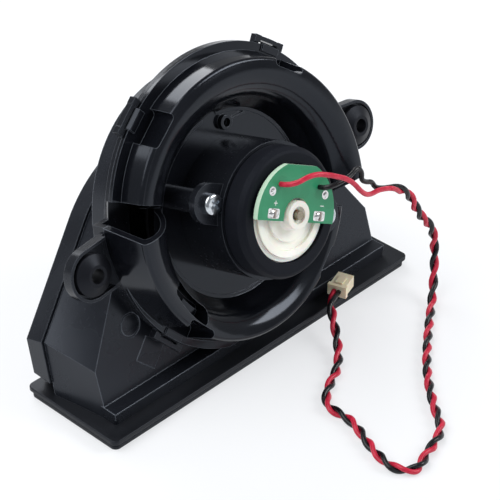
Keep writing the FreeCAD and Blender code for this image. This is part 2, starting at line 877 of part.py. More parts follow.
def build_holder():
    """Return the tube that holds the motor, with two screw ears."""
    parts = [cylinder(holder_outer, recess_floor_h, holder_top_h)]
    for turn in (0, 180):
        u, v = polar(ear_distance, ear_angle + turn)
        low = ear_top_h - ear_thick
        ear = cylinder(ear_radius, low, ear_top_h, u, v)
        web = block(0, ear_distance, -ear_radius, ear_radius, low, ear_top_h)
        web = turned(web, ear_angle + turn)
        parts += [ear, web, cylinder(post_radius, recess_floor_h, low, u, v)]
    solid = fuse(parts).cut(cylinder(holder_inner, recess_floor_h - 1, holder_top_h + ear_thick))
    bores = []
    bore_floor_h = recess_floor_h + screw_bore_floor
    for turn in (0, 180):
        u, v = polar(ear_distance, ear_angle + turn)
        bores.append(cylinder(screw_shank_radius + rubber_fit, bore_floor_h, ear_top_h + 1, u, v))
    return solid.cut(bores)


def build_screw(turn):
    """Return one pan head screw with a cross recess."""
    top = ear_top_h + screw_head_height
    head = cylinder(screw_head_radius, ear_top_h, top)
    head = head.makeFillet(screw_head_round, [e for e in head.Edges if e.BoundBox.ZMin > top - 0.01])
    shank = cylinder(screw_shank_radius, ear_top_h - screw_length, ear_top_h)
    half = cross_width / 2
    arm = block(-cross_reach, cross_reach, -half, half, top - cross_depth, top + 1)
    screw = turned(fuse([head, shank]).cut([arm, turned(arm, 90)]), cross_turn)
    u, v = polar(ear_distance, ear_angle + turn)
    screw.translate(Vector(u, v, 0))
    return screw


def build_sleeve():
    """Return the rubber sleeve between the motor and its holder."""
    inner = can_radius + rubber_fit
    outer = holder_inner - sleeve_fit
    foot_h = recess_floor_h + sleeve_foot
    collar = can_radius + sleeve_collar_swell
    collar_h = holder_top_h + sleeve_fit
    front = can_radius + sleeve_front_swell
    lip = can_radius - sleeve_lip
    under_lip_h = can_top_h + rubber_fit
    return revolved(((inner, foot_h), (outer, foot_h), (outer, collar_h), (collar, collar_h),
                     (collar, cap_face_h - sleeve_shoulder), (front, cap_face_h - 0.5 * sleeve_front_chamfer),
                     (front - sleeve_front_chamfer, cap_face_h), (lip, cap_face_h),
                     (lip, under_lip_h), (inner, under_lip_h)))


def build_can():
    """Return the motor's drawn steel can with its bearing nose."""
    outer = revolved(((0, recess_floor_h - nose_height), (nose_radius, recess_floor_h - nose_height),
                      (nose_radius, recess_floor_h), (can_inner, recess_floor_h),
                      (can_radius, can_floor_h), (can_radius, can_top_h), (0, can_top_h)))
    inside = cylinder(can_inner, can_floor_h, can_top_h + 1)
    seat = cylinder(bush_radius, recess_floor_h - nose_height, can_floor_h + 1)
    return outer.cut([inside, seat])


def bush(low, high):
    """Return a sintered bush with a running bore."""
    return tube(bush_radius, shaft_radius + bush_running, low, high)


def build_end_cap():
    """Return the white nylon cap that closes the can and carries the board."""
    plug = can_inner - rubber_fit
    low = can_top_h - cap_plug_depth
    step = can_radius - cap_step_width
    face = can_radius - cap_face_width
    groove_outer = can_radius - cap_groove_outer_step
    groove_inner = can_radius - cap_groove_inner_step
    groove_h = cap_face_h - cap_groove_depth
    solid = revolved(((0, low), (plug, low), (plug, can_top_h), (step, can_top_h), (step, cap_step_h),
                      (face, cap_step_h), (face, cap_face_h), (groove_outer, cap_face_h),
                      (groove_outer, groove_h), (groove_inner, groove_h), (groove_inner, cap_face_h),
                      (cap_boss_radius + cap_boss_chamfer, cap_face_h),
                      (cap_boss_radius, cap_face_h + cap_boss_chamfer), (cap_boss_radius, cap_boss_h),
                      (0, cap_boss_h)))
    posts = []
    for side in (-1, 1):
        u, v = board_spot(side * cap_post_offset, cap_post_rise)
        posts.append(cylinder(cap_post_radius, cap_face_h - 1, board_back_h, u, v))
    chamber = cylinder(can_radius - cap_chamber_step, low - 1, can_top_h - bush_seat)
    mouth = cylinder(cap_boss_mouth, cap_boss_h - cap_boss_lip, cap_boss_h + 1)
    well = cylinder(bush_radius, can_top_h - 1, cap_boss_h - bush_cover)
    passage = cylinder(shaft_radius + shaft_passage, low - 1, cap_boss_h + 1)
    slots = []
    for side in (-1, 1):
        slot = terminal_box(side, low - 1, cap_face_h + 1, terminal_fit)
        slots.append(turned(slot, board_turn))
    return fuse([solid] + posts).cut([chamber, mouth, well, passage] + slots)


def board_spot(across, up):
    """Return the fan frame point of a place on the turned board."""
    angle = math.radians(board_turn)
    return (across * math.cos(angle) - up * math.sin(angle), across * math.sin(angle) + up * math.cos(angle))


def terminal_box(side, low, high, fit):
    """Return the upright blade of one brush terminal before its turn."""
    middle = side * terminal_offset
    half_x = terminal_thick / 2 + fit
    half_y = terminal_width / 2 + fit
    return block(middle - half_x, middle + half_x, -half_y, half_y, low, high)


def build_terminal(side):
    """Return one bent terminal that runs from a brush to the board."""
    arm_h = commutator_top_h - brush_seat
    near = commutator_radius + brush_gap + brush_length
    blade = terminal_box(side, arm_h, board_front_h + terminal_stub, 0)
    ends = sorted((side * near, side * terminal_offset))
    arm = block(ends[0], ends[1], -terminal_width / 2, terminal_width / 2, arm_h, arm_h + terminal_thick)
    return turned(fuse([blade, arm]), board_turn)


def build_brush(side):
    """Return one carbon brush against the commutator."""
    near = commutator_radius + brush_gap
    ends = sorted((side * near, side * (near + brush_length)))
    top = commutator_top_h - brush_seat + terminal_thick
    brush = block(ends[0], ends[1], -brush_width / 2, brush_width / 2, top - brush_height, top)
    return turned(brush, board_turn)


def build_board():
    """Return the crescent circuit board that stands off the cap."""
    disc = cylinder(board_radius, board_back_h, board_front_h)
    kept = block(-board_radius, board_radius, board_foot, board_chord, board_back_h - 1, board_front_h + 1)
    slot = fuse([cylinder(board_slot, board_back_h - 1, board_front_h + 1),
                 block(-board_slot, board_slot, -board_radius, 0, board_back_h - 1, board_front_h + 1)])
    holes = [terminal_box(side, board_back_h - 1, board_front_h + 1, terminal_fit) for side in (-1, 1)]
    return turned(disc.common(kept).cut([slot] + holes), board_turn)


def build_pad(side):
    """Return the solder that joins one terminal to the board."""
    top = board_front_h + pad_height
    rise = Part.makeLoft([pad_wire(side, 1.0, board_front_h), pad_wire(side, pad_taper, top)], True, True)
    return turned(rise.cut(terminal_box(side, board_front_h - 1, top + 1, 0)), board_turn)


def pad_wire(side, scale, h):
    """Return an oval solder outline round one terminal, longer up the board than across it."""
    middle = Vector(side * terminal_offset, 0, h)
    longest = Vector(middle.x, pad_length / 2 * scale, h)
    widest = Vector(middle.x + pad_width / 2 * scale, 0, h)
    return Part.Wire([Part.Ellipse(longest, widest, middle).toShape()])


def build_spot(side):
    """Return one small round solder spot."""
    u, v = board_spot(side * spot_offset, spot_rise)
    return Part.makeCone(spot_radius, spot_tip, spot_height, Vector(u, v, board_front_h))


def build_magnet(turn):
    """Return one curved field magnet inside the can."""
    ring = tube(can_inner, magnet_inner, magnet_bottom_h, magnet_top_h)
    half = magnet_span / 2
    piece = ring.common(sector(-half, half, 2 * joint_radius, magnet_bottom_h, magnet_top_h))
    return turned(piece, 90 + turn + board_turn)


def slot_cutters(low, high):
    """Return the winding slots of the armature, neck and pocket."""
    cutters = []
    for index in range(core_slots):
        neck = block(core_radius - 2 * slot_lip, core_radius + 1, -slot_neck / 2, slot_neck / 2, low, high)
        pocket = block(slot_bottom, core_radius - slot_lip, -slot_width / 2, slot_width / 2, low, high)
        cutters.append(turned(fuse([neck, pocket]), index * 360.0 / core_slots))
    return cutters


def build_core():
    """Return the slotted iron core of the armature."""
    body = tube(core_radius, shaft_radius, core_bottom_h, core_top_h)
    return body.cut(slot_cutters(core_bottom_h - 1, core_top_h + 1))


def build_windings():
    """Return the copper windings: slot bars and the turns at each end."""
    bars = []
    half = slot_width / 2
    for index in range(core_slots):
        bar = block(slot_bottom, core_radius - slot_lip, -half, half, core_bottom_h, core_top_h)
        bars.append(turned(bar, index * 360.0 / core_slots))
    inner = shaft_radius + winding_sleeve
    ends = [tube(winding_radius, inner, core_bottom_h - winding_end, core_bottom_h),
            tube(winding_radius, inner, core_top_h, core_top_h + winding_end)]
    return fuse(ends + bars)


def build_commutator():
    """Return the commutator with its three slits."""
    body = tube(commutator_radius, shaft_radius, commutator_bottom_h, commutator_top_h)
    half = commutator_slit / 2
    slit = block(commutator_radius - commutator_slit_depth, commutator_radius + 1, -half, half,
                 commutator_bottom_h - 1, commutator_top_h + 1)
    return body.cut([turned(slit, 120.0 * index) for index in range(3)])


def impeller_floor_h():
    """Return the underside of the impeller's shroud."""
    return drum_bottom_h + base_wall + impeller_running


def build_impeller():
    """Return the impeller: plate, hub, curved blades and shroud ring."""
    low = impeller_floor_h()
    plate_low = impeller_plate_h - impeller_plate
    plate = cylinder(impeller_radius, plate_low, impeller_plate_h)
    hub = cylinder(hub_radius, impeller_plate_h - hub_height, impeller_plate_h)
    shroud = tube(impeller_radius, impeller_eye, low, low + impeller_shroud)
    blade = build_blade(low, plate_low)
    blades = [turned(blade, index * 360.0 / blade_count) for index in range(blade_count)]
    body = fuse([plate, hub, shroud] + blades)
    return body.cut(cylinder(shaft_radius, low - 5, 5))


def build_blade(low, high):
    """Return one blade that curves back from the eye to the rim."""
    rim = impeller_radius - blade_tip_gap
    halfway = 0.5 * (blade_root + impeller_radius)
    bow = blade_bow * blade_sweep
    root = Vector(*polar(blade_root, 0), low)
    middle = Vector(*polar(halfway, -bow), low)
    tip = Vector(*polar(rim, -blade_sweep), low)
    back = Vector(*polar(rim, -blade_sweep - blade_tip_turn), low)
    belly = Vector(*polar(halfway + blade_belly_step, -bow - blade_belly_turn), low)
    heel = Vector(*polar(blade_root, -blade_heel_turn), low)
    wire = Part.Wire([Part.Arc(root, middle, tip).toShape(), Part.makeLine(tip, back),
                      Part.Arc(back, belly, heel).toShape(), Part.makeLine(heel, root)])
    return Part.Face(wire).extrude(Vector(0, 0, high - low))


def build_grommet(side):
    """Return one rubber grommet that fills a lug's bore, domed towards its mouth."""
    under_h = lug_bottom_h - grommet_under_thick
    waist = lug_bore - rubber_fit
    edge_h = lug_floor_h + grommet_edge_thick
    mouth = grommet_bore + grommet_mouth
    top_h = edge_h + grommet_dome
    under = grommet_flange - grommet_under_step
    shape = revolved(((grommet_bore, under_h), (under, under_h), (under, lug_bottom_h),
                      (waist, lug_bottom_h), (waist, lug_floor_h), (grommet_flange, lug_floor_h),
                      (grommet_flange, edge_h), (mouth, top_h), (grommet_bore, top_h)))
    shape.translate(Vector(side * lug_u, lug_v, 0))
    return shape


def fan_point(point):
    """Return the world place of a point of the fan frame."""
    return fan_to_world().multVec(Vector(*point))


def route_path(points):
    """Return the wire of straight runs joined by tangent arcs, and its radii."""
    edges = []
    radii = []
    last = points[0]
    for index in range(1, len(points) - 1):
        corner = points[index]
        back = points[index - 1] - corner
        ahead = points[index + 1] - corner
        turn = math.pi - back.getAngle(ahead)
        reach = 0.45 * min(back.Length, ahead.Length)
        begin = corner + back.normalize() * reach
        end = corner + ahead.normalize() * reach
        radius = reach / math.tan(turn / 2)
        radii.append(radius)
        middle_way = (back + ahead).normalize()
        middle = corner + middle_way * bulge(radius, turn)
        edges.append(Part.makeLine(last, begin))
        edges.append(Part.Arc(begin, middle, end).toShape())
        last = end
    edges.append(Part.makeLine(last, points[-1]))
    return Part.Wire(edges), radii


def bulge(radius, turn):
    """Return how far inside its corner an arc passes."""
    return radius / math.cos(turn / 2) - radius


def build_cable(name, points, radius):
    """Write one round cable along its route and print how it compares."""
    path, radii = route_path(points)
    start = Part.Circle(points[0], points[1] - points[0], radius).toShape()
    cable = path.makePipeShell([Part.Wire([start])], True, False)
    export(name, cable)
    share = cable.Volume / (math.pi * radius ** 2 * path.Length)
    print("   length", round(path.Length, 1), "volume share", round(share, 4))
    print("   radii", [round(radius, 1) for radius in radii])


def lead_points(route, side):
    """Return a lead's world route, ending beside the other at the pair."""
    begin = Vector(*pair_route[0])
    along = (Vector(*pair_route[1]) - begin).normalize()
    end = begin + fan_to_world().Rotation.multVec(Vector(0, 0, side * lead_spread))
    end = end - along * along.dot(end - begin)
    spots = [fan_point((u, v, board_front_h + rise)) for u, v, rise in route]
    return spots + [end - along * lead_approach, end]


def connector_frame(shape):
    """Return a shape set at the end of the pair, with its length along local X."""
    placed = shape.copy()
    placed.Placement = Placement(Vector(*pair_route[-1]), Rotation(Vector(0, 0, 1), connector_turn))
    return placed


def build_connector():
    """Return the two way plug housing with its keys and its pin chambers."""
    half_w = connector_width / 2
    half_h = connector_height / 2
    body = block(0, connector_length, -half_w, half_w, -half_h, half_h)
    pieces = [body]
    for side in (-1, 1):
        low = side * half_w - connector_key
        high = side * half_w + connector_key
        pieces.append(block(0, connector_key_length, low, high, -half_h, half_h))
    rail = connector_rail_width / 2
    pieces.append(block(connector_key_length, connector_length - connector_rail_end, -rail, rail,
                        half_h, half_h + connector_key))
    chambers = []
    for side in (-1, 1):
        ends = sorted((side * connector_wall / 2, side * (half_w - connector_wall)))
        chambers.append(block(connector_length - connector_slot_depth, connector_length + 1, ends[0], ends[1],
                              -half_h + connector_wall, half_h - connector_wall))
    return connector_frame(fuse(pieces).cut(chambers))


def build_pin(side):
    """Return one crimped contact inside its chamber of the plug."""
    low = connector_length - connector_slot_depth
    middle = side * connector_width / 4
    half = pin_width / 2
    return connector_frame(block(low, low + pin_length, middle - half, middle + half, -half, half))


def main():
    """Build and write every node."""
    export("hood_back_shell", build_back_shell())
    export("duct_hood", build_duct_hood())
    export("mouth_seal", build_seal())
    export("scroll_base", stand(build_base()))
    export("scroll_cover", stand(build_cover()))
    export("motor_holder", stand(build_holder()))
    export("holder_screw_left", stand(build_screw(0)))
    export("holder_screw_right", stand(build_screw(180)))
    export("rubber_sleeve", stand(build_sleeve()))
    export("motor_can", stand(build_can()))
    export("motor_end_cap", stand(build_end_cap()))
    export("front_bush", stand(bush(recess_floor_h - nose_height, can_floor_h)))
    export("rear_bush", stand(bush(can_top_h - bush_seat, cap_boss_h - bush_cover)))
    export("motor_shaft", stand(cylinder(shaft_radius, impeller_plate_h - hub_height, shaft_end_h)))
    export("armature_core", stand(build_core()))
    export("armature_windings", stand(build_windings()))
    export("commutator", stand(build_commutator()))
    for name, side in (("left", -1), ("right", 1)):
        export("brush_" + name, stand(build_brush(side)))
        export("brush_terminal_" + name, stand(build_terminal(side)))
        export("terminal_solder_" + name, stand(build_pad(side)))
        export("board_solder_" + name, stand(build_spot(side)))
        export("grommet_" + name, stand(build_grommet(side)))
    for name, turn in (("upper", 0), ("lower", 180)):
        export("field_magnet_" + name, stand(build_magnet(turn)))
    export("circuit_board", stand(build_board()))
    export("impeller", stand(build_impeller()))
    build_cable("lead_red", lead_points(red_route, 1), wire_radius)
    build_cable("lead_black", lead_points(black_route, -1), wire_radius)
    build_cable("lead_pair", [Vector(*point) for point in pair_route], pair_radius)
    export("connector_housing", build_connector())
    for name, side in (("left", -1), ("right", 1)):
        export("connector_contact_" + name, build_pin(side))


main()
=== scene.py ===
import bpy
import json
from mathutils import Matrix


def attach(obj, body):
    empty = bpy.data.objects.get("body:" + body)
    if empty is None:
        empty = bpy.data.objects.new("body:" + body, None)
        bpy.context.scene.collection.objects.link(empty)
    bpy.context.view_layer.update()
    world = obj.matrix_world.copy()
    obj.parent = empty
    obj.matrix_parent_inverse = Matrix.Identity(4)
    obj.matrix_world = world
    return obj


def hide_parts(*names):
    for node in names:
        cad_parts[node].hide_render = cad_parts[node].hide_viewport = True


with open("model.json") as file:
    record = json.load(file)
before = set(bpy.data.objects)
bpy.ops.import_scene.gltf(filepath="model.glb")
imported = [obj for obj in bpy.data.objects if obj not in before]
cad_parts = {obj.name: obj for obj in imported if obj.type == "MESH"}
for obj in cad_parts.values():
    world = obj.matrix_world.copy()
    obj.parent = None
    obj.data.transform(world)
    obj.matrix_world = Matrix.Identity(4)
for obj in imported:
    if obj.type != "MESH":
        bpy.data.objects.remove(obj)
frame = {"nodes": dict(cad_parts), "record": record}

"""Dress a robot vacuum suction motor: duct hood, scroll, motor, leads and plug."""

import json
import logging
import math
from dataclasses import dataclass, field
from enum import Enum

import bmesh
import bpy
from mathutils import Matrix, Quaternion, Vector

log = logging.getLogger("suction_motor")

Two = tuple[float, float]
Three = tuple[float, float, float]
Four = tuple[float, float, float, float]

MM = 0.001
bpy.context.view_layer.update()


class Body(Enum):
    """The rigid bodies of the unit."""

    HOUSING = "housing"
    ROTOR = "rotor"


@dataclass(frozen=True)
class Stance:
    """How the fan leans over the mouth, in millimetres and degrees.

    In the fan frame u runs across, v up along the leaning face and h out along the motor axis.
    """

    lean: float = 16.8
    axis_y: float = -1.7
    axis_z: float = 41.5

    def matrix(self) -> Matrix:
        """Work out where the fan frame stands.

        Returns:
            The matrix from the fan frame, in millimetres, to the world, in metres.
        """
        turn = Matrix.Rotation(math.radians(90 - self.lean), 4, "X")
        place = Matrix.Translation(Vector((0, self.axis_y, self.axis_z)) * MM)
        return place @ turn @ Matrix.Scale(MM, 4)

    def normal(self) -> Vector:
        """Return the direction of the motor axis, out of the fan."""
        return (self.matrix().to_3x3() @ Vector((0, 0, 1))).normalized()


STANCE = Stance()
BOARD_FRONT = 24.5  # the height of the circuit board's face in the fan frame, in millimetres

NOISE_MIDDLE = (0.3, 0.7)  # the range that a noise mostly takes
NOISE_UPPER = (0.4, 0.7)
EDGE_COSINES = (0.985, 0.82)  # of the rounded and the own normal, where the painted edge highlight starts and is full
EDGE_SAMPLES = 4
CURVE_STEPS = 16
CURVE_ROUND_STEPS = 5
MERGE_DISTANCE = 1e-7  # in metres


class Shade:
    """A shader socket that takes part in Python sums."""

    def __init__(self, tree: "Tree", socket: bpy.types.NodeSocket) -> None:
        """Keep the socket and the tree that it is in."""
        self.tree = tree
        self.socket = socket

    def _sum(self, kind: str, first: object, second: object) -> "Shade":
        """Add a Math node of one kind and return its result."""
        return self.tree.node("ShaderNodeMath", {"operation": kind}, {0: first, 1: second})

    def __add__(self, other: object) -> "Shade":
        """Return self + other."""
        return self._sum("ADD", self, other)

    __radd__ = __add__

    def __mul__(self, other: object) -> "Shade":
        """Return self * other."""
        return self._sum("MULTIPLY", self, other)

    __rmul__ = __mul__

    def size(self) -> "Shade":
        """Return the value without its sign."""
        return self._sum("ABSOLUTE", self, 0.0)

    def ramp(self, low: float, high: float, start: float = 0.0, end: float = 1.0) -> "Shade":
        """Return the value spread from low..high to start..end, held at its ends."""
        sockets = {"Value": self, "From Min": low, "From Max": high, "To Min": start, "To Max": end}
        return self.tree.node("ShaderNodeMapRange", {"clamp": True}, sockets)


class Tree:
    """The node tree of a material or the world, with one method that adds any node."""

    def __init__(self, owner: bpy.types.Material | bpy.types.World) -> None:
        """Empty the owner's tree.

        Args:
            owner: the material or the world.
        """
        owner.use_nodes = True
        self.owner = owner
        self.nodes = owner.node_tree.nodes
        self.links = owner.node_tree.links
        self.nodes.clear()

    def add(self, kind: str, settings: dict, sockets: dict) -> bpy.types.Node:
        """Add a node of any type.

        Args:
            kind: the node's type name.
            settings: its properties, set before its sockets.
            sockets: values or links by socket name or number.

        Returns:
            The new node.
        """
        made = self.nodes.new(kind)
        for key, value in settings.items():
            setattr(made, key, value)
        for key, value in sockets.items():
            if isinstance(value, Shade):
                self.links.new(value.socket, made.inputs[key])
            else:
                made.inputs[key].default_value = value
        return made

    def node(self, kind: str, settings: dict | None = None, sockets: dict | None = None,
             output: int | str = 0) -> Shade:
        """Add a node and return one of its outputs, by name or number."""
        made = self.add(kind, settings or {}, sockets or {})
        return Shade(self, made.outputs[output])

    def object_place(self) -> Shade:
        """Return the object coordinates, in metres."""
        return self.node("ShaderNodeTexCoord", output="Object")

    def noise(self, place: Shade, scale: float, detail: float) -> Shade:
        """Return a noise value, with its scale in marks per metre."""
        sockets = {"Vector": place, "Scale": scale, "Detail": detail}
        return self.node("ShaderNodeTexNoise", {}, sockets)

    def mix(self, share: Shade, first: object, second: object) -> Shade:
        """Return a mix of two colours."""
        settings = {"data_type": "RGBA"}
        return self.node("ShaderNodeMix", settings, {0: share, 6: first, 7: second}, 2)

    def bump(self, height: Shade, distance: float, strength: float,
             normal: Shade | None = None) -> Shade:
        """Return a normal from a height.

        Args:
            height: the value that rises and falls.
            distance: how far it rises, in metres.
            strength: how much of it shows.
            normal: the normal that it starts from, if not the surface's own.

        Returns:
            The normal.
        """
        sockets = {"Height": height, "Distance": distance, "Strength": strength}
        if normal:
            sockets["Normal"] = normal
        return self.node("ShaderNodeBump", {}, sockets)

    def rounded(self, radius: float) -> Shade:
        """Return the normal with the edges rounded by a radius, in metres."""
        return self.node("ShaderNodeBevel", {"samples": EDGE_SAMPLES}, {"Radius": radius})

    def edges(self, rounded: Shade) -> Shade:
        """Find the edges.

        Args:
            rounded: the normal with the edges rounded.

        Returns:
            1 along the edges, where the rounded normal leaves the surface's own, and else 0.
        """
        own = self.node("ShaderNodeNewGeometry", output="Normal")
        same = self.node("ShaderNodeVectorMath", {"operation": "DOT_PRODUCT"},
                         {0: rounded, 1: own}, "Value")
        return same.ramp(*EDGE_COSINES)

    def finish(self, sockets: dict) -> bpy.types.Material:
        """Close the material with a Principled shader.

        Args:
            sockets: values or links of the shader's sockets.

        Returns:
            The material.
        """
        shader = self.node("ShaderNodeBsdfPrincipled", {}, sockets)
        self.add("ShaderNodeOutputMaterial", {}, {"Surface": shader})
        return self.owner


def rgba(colour: Three) -> Four:
    """Return a colour with full alpha."""
    return (*colour, 1.0)


@dataclass(frozen=True)
class Moulded:
    """A moulded plastic or rubber: a spark grain, flow marks, scuffed gloss and a painted highlight
    along the edges.

    Lengths are in metres and scales in marks per metre.
    """

    name: str
    colour: Three
    roughness: float
    grain: float = 0.00018
    depth: float = 0.000012
    relief: float = 0.5
    scuff: float = 0.12
    edge: float = 0.00025
    # share by which the painted highlight lightens the edges towards the tint
    painted_edge_highlight: float = 0.0
    specular: float = 0.5
    subsurface: float = 0.0
    subsurface_reach: float = 0.002
    # the colour of the gloss and of the painted edge highlight
    tint: Three = (0.78, 0.86, 1.0)
    flow_scale: float = 55.0
    flow_range: Two = (0.35, 0.7)
    flow_lift: float = 1.35
    flow_floor: float = 0.001
    dust_scale: float = 900.0
    dust_range: Two = (0.62, 0.8)

    def build(self) -> bpy.types.Material:
        """Build the node tree.

        Returns:
            The material.
        """
        tree = Tree(bpy.data.materials.new(self.name))
        place = tree.object_place()
        grain = tree.noise(place, 1 / self.grain, detail=1.0)
        flow = tree.noise(place, self.flow_scale, detail=3.0)
        dust = tree.noise(place, self.dust_scale, detail=2.0).ramp(*self.dust_range)
        lighter = tuple(c * self.flow_lift + self.flow_floor for c in self.colour)
        base = tree.mix(flow.ramp(*self.flow_range), rgba(self.colour), rgba(lighter))
        rounded = tree.rounded(self.edge)
        # painted highlight: the edges are lightened towards the tint, as if they caught the light
        if self.painted_edge_highlight > 0:
            highlit_edge_colour = tuple(c + self.painted_edge_highlight * t for c, t in zip(self.colour, self.tint))
            base = tree.mix(tree.edges(rounded), base, rgba(highlit_edge_colour))
        rough = flow.ramp(*NOISE_MIDDLE, self.roughness - self.scuff / 2,
                          self.roughness + self.scuff / 2)
        sockets = {"Base Color": base, "Roughness": rough + dust * self.scuff,
                   "Normal": tree.bump(grain, self.depth, self.relief, rounded),
                   "Specular IOR Level": self.specular, "Specular Tint": rgba(self.tint)}
        if self.subsurface > 0:
            sockets["Subsurface Weight"] = self.subsurface
            sockets["Subsurface Scale"] = self.subsurface_reach
        return tree.finish(sockets)


@dataclass(frozen=True)
class Metal:
    """A bright or dull metal with fine marks, whose size and depth are in metres."""

    name: str
    colour: Three
    roughness: float
    marks: float = 0.0004
    depth: float = 0.00002
    relief: float = 0.6
    darker: float = 0.7
    gloss_range: Two = (0.7, 1.4)

    def build(self) -> bpy.types.Material:
        """Build the node tree.

        Returns:
            The material.
        """
        tree = Tree(bpy.data.materials.new(self.name))
        place = tree.object_place()
        marks = tree.noise(place, 1 / self.marks, detail=3.0)
        darker = tuple(c * self.darker for c in self.colour)
        base = tree.mix(marks.ramp(*NOISE_UPPER), rgba(self.colour), rgba(darker))
        smooth, dull = self.gloss_range
        rough = marks.ramp(*NOISE_MIDDLE, self.roughness * smooth, self.roughness * dull)
        return tree.finish({"Base Color": base, "Metallic": 1.0, "Roughness": rough,
                            "Normal": tree.bump(marks, self.depth, self.relief)})


@dataclass(frozen=True)
class SolderMask:
    """A green solder mask over copper, with pale bare laminate at the board's edges."""

    name: str = "solder_mask_green"
    mask: Three = (0.018, 0.235, 0.105)
    over_copper: Three = (0.021, 0.250, 0.114)
    laminate: Three = (0.5, 0.68, 0.52)
    copper_scale: float = 260.0
    copper_range: Two = (0.5, 0.53)
    copper_share: float = 0.8
    fibre_scale: float = 2600.0
    fibre_share: float = 0.2
    face_cosines: Two = (0.55, 0.6)
    roughness_range: Two = (0.28, 0.42)
    depth: float = 0.00003
    relief: float = 0.5

    def build(self) -> bpy.types.Material:
        """Build the node tree.

        Returns:
            The material.
        """
        tree = Tree(bpy.data.materials.new(self.name))
        place = tree.object_place()
        copper = tree.noise(place, self.copper_scale, detail=0.0).ramp(*self.copper_range)
        fibre = tree.noise(place, self.fibre_scale, detail=2.0)
        face = tree.mix(copper, rgba(self.mask), rgba(self.over_copper))
        normal = tree.node("ShaderNodeTexCoord", output="Normal")
        along = tree.node("ShaderNodeVectorMath", {"operation": "DOT_PRODUCT"},
                          {0: normal, 1: STANCE.normal()}, "Value")
        base = tree.mix(along.size().ramp(*self.face_cosines), rgba(self.laminate), face)
        height = copper * self.copper_share + fibre * self.fibre_share
        return tree.finish({"Base Color": base,
                            "Roughness": fibre.ramp(*NOISE_MIDDLE, *self.roughness_range),
                            "Normal": tree.bump(height, self.depth, self.relief)})


@dataclass(frozen=True)
class Insulation:
    """The soft glossy insulation of a lead."""

    name: str
    colour: Three
    roughness: float = 0.34
    smoother: float = 0.06
    rougher: float = 0.1
    ripple_scale: float = 700.0
    lift: float = 1.25
    lift_floor: float = 0.01
    specular: float = 0.3
    coat: float = 0.15
    coat_roughness: float = 0.2
    depth: float = 0.00003
    relief: float = 0.4

    def build(self) -> bpy.types.Material:
        """Build the node tree.

        Returns:
            The material.
        """
        tree = Tree(bpy.data.materials.new(self.name))
        place = tree.object_place()
        ripple = tree.noise(place, self.ripple_scale, detail=2.0)
        lighter = tuple(min(1.0, c * self.lift + self.lift_floor) for c in self.colour)
        base = tree.mix(ripple.ramp(*NOISE_UPPER), rgba(self.colour), rgba(lighter))
        rough = (self.roughness - self.smoother, self.roughness + self.rougher)
        return tree.finish({"Base Color": base, "Specular IOR Level": self.specular,
                            "Coat Roughness": self.coat_roughness,
                            "Coat Weight": ripple.ramp(*NOISE_MIDDLE, 0.0, self.coat),
                            "Roughness": ripple.ramp(*NOISE_MIDDLE, *rough),
                            "Normal": tree.bump(ripple, self.depth, self.relief)})


PLAIN_GLOSS = (1.0, 1.0, 1.0)

FINISHES = (
    Moulded("duct_black", (0.0078, 0.0089, 0.0120), 0.26, depth=0.000008, edge=0.0004,
            painted_edge_highlight=0.22, specular=0.34),
    Moulded("back_black", (0.0072, 0.0082, 0.0110), 0.26, depth=0.000008, edge=0.0004,
            painted_edge_highlight=0.06, specular=0.36),
    Moulded("base_black", (0.0050, 0.0056, 0.0078), 0.24, depth=0.000006, edge=0.0003,
            painted_edge_highlight=0.08, specular=0.32),
    Moulded("cover_black", (0.0034, 0.0039, 0.0056), 0.13, depth=0.000003, scuff=0.05,
            edge=0.0003, painted_edge_highlight=0.14, specular=0.34),
    Moulded("holder_black", (0.0062, 0.0070, 0.0094), 0.24, depth=0.000003, scuff=0.07,
            painted_edge_highlight=0.05, specular=0.40),
    Moulded("impeller_black", (0.008, 0.008, 0.010), 0.3, specular=0.35),
    Moulded("seal_black", (0.0074, 0.0080, 0.0100), 0.40, depth=0.00002, painted_edge_highlight=0.03,
            specular=0.24),
    Moulded("sleeve_black", (0.0054, 0.0061, 0.0090), 0.55, depth=0.00002, edge=0.0004,
            specular=0.11),
    Moulded("grommet_black", (0.0052, 0.0055, 0.0075), 0.42, depth=0.00001, specular=0.18),
    Moulded("cap_natural_nylon", (0.78, 0.76, 0.69), 0.42, depth=0.00001, scuff=0.1,
            subsurface=0.25, tint=PLAIN_GLOSS),
    Moulded("plug_natural_nylon", (0.66, 0.58, 0.42), 0.42, depth=0.00001, scuff=0.1,
            subsurface=0.2, edge=0.0001, tint=PLAIN_GLOSS),
    Moulded("brush_carbon", (0.02, 0.02, 0.022), 0.6),
    Moulded("ferrite", (0.03, 0.03, 0.032), 0.55),
    Metal("can_plate", (0.55, 0.55, 0.56), 0.35),
    Metal("ground_steel", (0.34, 0.30, 0.23), 0.25),
    Metal("sintered_bronze", (0.55, 0.38, 0.2), 0.45),
    Metal("core_laminations", (0.3, 0.3, 0.31), 0.5),
    Metal("copper", (0.62, 0.26, 0.12), 0.35),
    Metal("terminal_brass", (0.42, 0.37, 0.34), 0.3),
    Metal("solder", (0.80, 0.80, 0.80), 0.20, marks=0.0006, depth=0.00006),
    Metal("zinc", (0.62, 0.66, 0.70), 0.15, marks=0.0008, depth=0.000004),
    Metal("tin", (0.7, 0.7, 0.68), 0.3),
    SolderMask(),
    Insulation("lead_red_insulation", (0.47, 0.012, 0.040)),
    Insulation("lead_black_insulation", (0.003, 0.003, 0.005), 0.27),
    Moulded("board_print", (0.75, 0.78, 0.75), 0.5, depth=0.000002, edge=0.00001),
)

